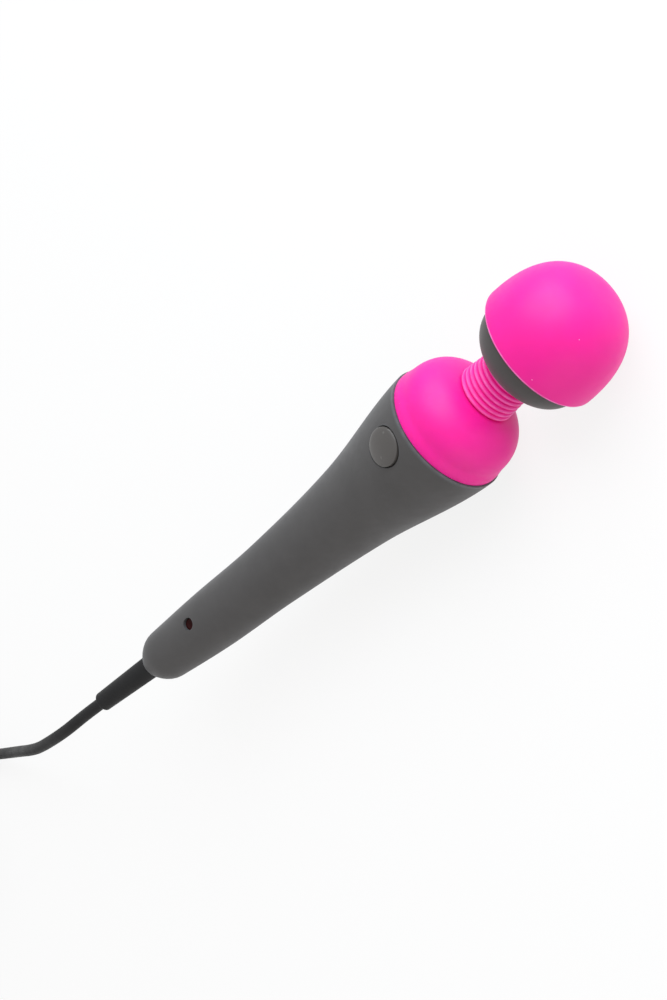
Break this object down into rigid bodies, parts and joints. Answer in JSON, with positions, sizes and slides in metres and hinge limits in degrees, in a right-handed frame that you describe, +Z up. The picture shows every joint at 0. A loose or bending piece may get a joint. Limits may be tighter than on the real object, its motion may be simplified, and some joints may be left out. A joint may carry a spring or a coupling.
{
  "type": "handheld wand massager",
  "caption": "Corded handheld wand massager: soft domed head on a flexible ribbed neck, curved tapering grip with a round power button, coiled cord and wall adapter.",
  "frame": {"origin": "on the supporting surface under the middle of the wand's box, measured without the strain relief, cord, coil and adapter", "axes": "+Y along the wand towards the head, +Z up, the side of the power button, +X to the right seen from the tail"},
  "size_m": [0.063, 0.5097, 0.0403],
  "materials": {
    "soft_grip": "matt soft-touch",
    "shell_plastic": "moulded",
    "pink_silicone": "satin silicone",
    "cup_plastic": "satin",
    "button_plastic": "satin to gloss",
    "white_plastic": "moulded",
    "screw_steel": "zinc plated",
    "spring_steel": "bare",
    "motor_steel": "plated",
    "black_plastic": "moulded",
    "black_rubber": "matt",
    "tie_fabric": "woven hook and loop",
    "board_laminate": "solder mask",
    "capacitor_sleeve": "sleeved",
    "red_lead": "insulated",
    "led_red": "clear tinted",
    "lens_red": "dark red",
    "brass": "plain"
  },
  "bodies": {
    "handle": {"grip_sleeve": "soft_grip", "front_shell": "shell_plastic", "back_shell": "shell_plastic", "shell_screws": "screw_steel", "shoulder_dome": "pink_silicone", "neck_base": "white_plastic", "switch_body": "black_plastic", "main_board": "board_laminate", "control_chip": "black_plastic", "capacitor": "capacitor_sleeve", "lead_socket": "white_plastic", "board_screws": "screw_steel", "board_leads": "red_lead", "supply_leads": "black_rubber", "power_board": "board_laminate", "indicator_led": "led_red", "indicator_lens": "lens_red", "inner_cord": "black_rubber", "strain_relief": "black_rubber", "cord": "black_rubber", "cord_coil": "black_rubber", "coil_tie": "tie_fabric", "adapter_case": "black_plastic", "adapter_cover": "black_plastic", "adapter_blades": "brass", "adapter_relief": "black_rubber"},
    "neck": {"neck_bellows": "pink_silicone", "neck_spring": "spring_steel", "motor_leads": "red_lead"},
    "head": {"head_cup": "cup_plastic", "head_hub": "white_plastic", "hub_screws": "screw_steel", "motor_damper": "black_rubber", "motor_end_cap": "black_plastic", "motor_terminals": "brass", "motor_can": "motor_steel", "motor_bush": "brass", "head_core": "white_plastic", "head_cap": "pink_silicone"},
    "rotor": {"motor_shaft": "spring_steel", "eccentric_weight": "brass"},
    "button": {"button_cap": "button_plastic"},
    "plunger": {"switch_plunger": "white_plastic"}
  },
  "joints": [
    {"name": "neck_tilt", "type": "hinge", "parent": "handle", "child": "neck", "pos_m": [0, 0.05558, 0.02], "axis": [1, 0, 0], "range_deg": [-20, 20], "stiffness_Nm_per_rad": 1.2, "deforming": ["neck_bellows", "neck_spring", "motor_leads"]},
    {"name": "neck_swing", "type": "hinge", "parent": "neck", "child": "head", "pos_m": [0, 0.06133, 0.02], "axis": [0, 0, 1], "range_deg": [-20, 20], "stiffness_Nm_per_rad": 1.2, "deforming": ["neck_bellows", "neck_spring", "motor_leads"]},
    {"name": "motor_spin", "type": "hinge", "parent": "head", "child": "rotor", "pos_m": [0, 0.0754, 0.02], "axis": [0, 1, 0], "continuous": true},
    {"name": "button_press", "type": "slide", "parent": "handle", "child": "button", "axis": [0, 0.1248, -0.9922], "range_m": [0, 0.0004], "stiffness_N_per_m": 1200},
    {"name": "switch_press", "type": "slide", "parent": "handle", "child": "plunger", "axis": [0, 0.1248, -0.9922], "range_m": [0, 0.0004]}
  ],
  "couplings": [
    {"joint": "switch_press", "follows": "button_press", "ratio": 1}
  ]
}
